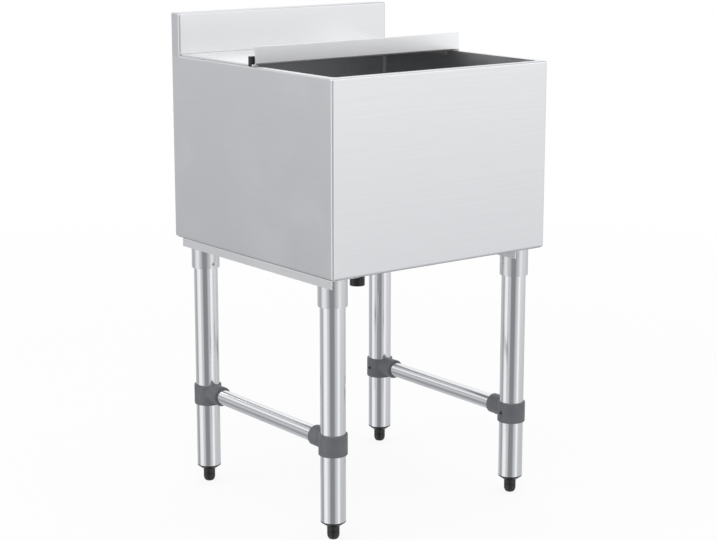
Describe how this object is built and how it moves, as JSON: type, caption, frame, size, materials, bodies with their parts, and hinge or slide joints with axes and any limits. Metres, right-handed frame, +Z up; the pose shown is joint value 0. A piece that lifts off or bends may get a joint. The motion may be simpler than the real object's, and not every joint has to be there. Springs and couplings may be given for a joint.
{
  "type": "underbar ice bin",
  "caption": "Insulated steel ice bin on braced tube legs, with a backsplash, a sliding half lid, a drained well and screw feet.",
  "frame": {"origin": "on the floor under the middle of the bin's footprint", "axes": "+X to the right as seen from the front, +Y to the rear, where the backsplash is, +Z up"},
  "size_m": [0.4572, 0.47, 0.8484],
  "materials": {
    "shell_steel": "satin, fine brushed grain",
    "well_steel": "satin",
    "lid_steel": "bright brushed",
    "rail_steel": "mill finish",
    "leg_steel": "polished tube",
    "drain_steel": "satin",
    "fastener_steel": "plain",
    "collar_plastic": "dark grey, slightly glossy",
    "black_plastic": "black, matt",
    "runner_nylon": "natural nylon",
    "gasket_rubber": "matt",
    "insulation_foam": "rigid cellular foam"
  },
  "bodies": {
    "bin": {"front_panel": "shell_steel", "left_side_panel": "shell_steel", "right_side_panel": "shell_steel", "rear_panel": "shell_steel", "backsplash": "shell_steel", "backsplash_end_left": "shell_steel", "backsplash_end_right": "shell_steel", "rear_ledge": "shell_steel", "bottom_pan": "shell_steel", "ice_well": "well_steel", "leg_rail_left": "rail_steel", "leg_rail_right": "rail_steel", "leg_front_left": "leg_steel", "leg_front_right": "leg_steel", "leg_rear_left": "leg_steel", "leg_rear_right": "leg_steel", "leg_socket_front_left": "leg_steel", "leg_socket_front_right": "leg_steel", "leg_socket_rear_left": "leg_steel", "leg_socket_rear_right": "leg_steel", "brace_left": "leg_steel", "brace_right": "leg_steel", "drain_flange": "drain_steel", "drain_strainer": "drain_steel", "drain_strainer_screw": "drain_steel", "drain_locknut": "drain_steel", "rear_panel_screws": "fastener_steel", "rail_rivets": "fastener_steel", "socket_screws": "fastener_steel", "collar_screws": "fastener_steel", "brace_collar_front_left": "collar_plastic", "brace_collar_front_right": "collar_plastic", "brace_collar_rear_left": "collar_plastic", "brace_collar_rear_right": "collar_plastic", "leg_insert_front_left": "black_plastic", "leg_insert_front_right": "black_plastic", "leg_insert_rear_left": "black_plastic", "leg_insert_rear_right": "black_plastic", "drain_union_nut": "black_plastic", "drain_tail": "black_plastic", "drain_gasket": "gasket_rubber", "foam_front": "insulation_foam", "foam_left": "insulation_foam", "foam_right": "insulation_foam", "foam_rear": "insulation_foam", "foam_floor": "insulation_foam"},
    "lid": {"lid_panel": "lid_steel", "lid_runner_left": "runner_nylon", "lid_runner_right": "runner_nylon", "lid_bumper": "black_plastic"},
    "front_left_foot": {"foot_front_left": "black_plastic"},
    "front_right_foot": {"foot_front_right": "black_plastic"},
    "rear_left_foot": {"foot_rear_left": "black_plastic"},
    "rear_right_foot": {"foot_rear_right": "black_plastic"}
  },
  "joints": [
    {"name": "lid_slide", "type": "slide", "parent": "bin", "child": "lid", "axis": [0, -1, 0], "range_m": [0, 0.195]},
    {"name": "front_left_foot_slide", "type": "slide", "parent": "bin", "child": "front_left_foot", "axis": [0, 0, -1], "range_m": [0, 0.025]},
    {"name": "front_right_foot_slide", "type": "slide", "parent": "bin", "child": "front_right_foot", "axis": [0, 0, -1], "range_m": [0, 0.025]},
    {"name": "rear_left_foot_slide", "type": "slide", "parent": "bin", "child": "rear_left_foot", "axis": [0, 0, -1], "range_m": [0, 0.025]},
    {"name": "rear_right_foot_slide", "type": "slide", "parent": "bin", "child": "rear_right_foot", "axis": [0, 0, -1], "range_m": [0, 0.025]}
  ]
}
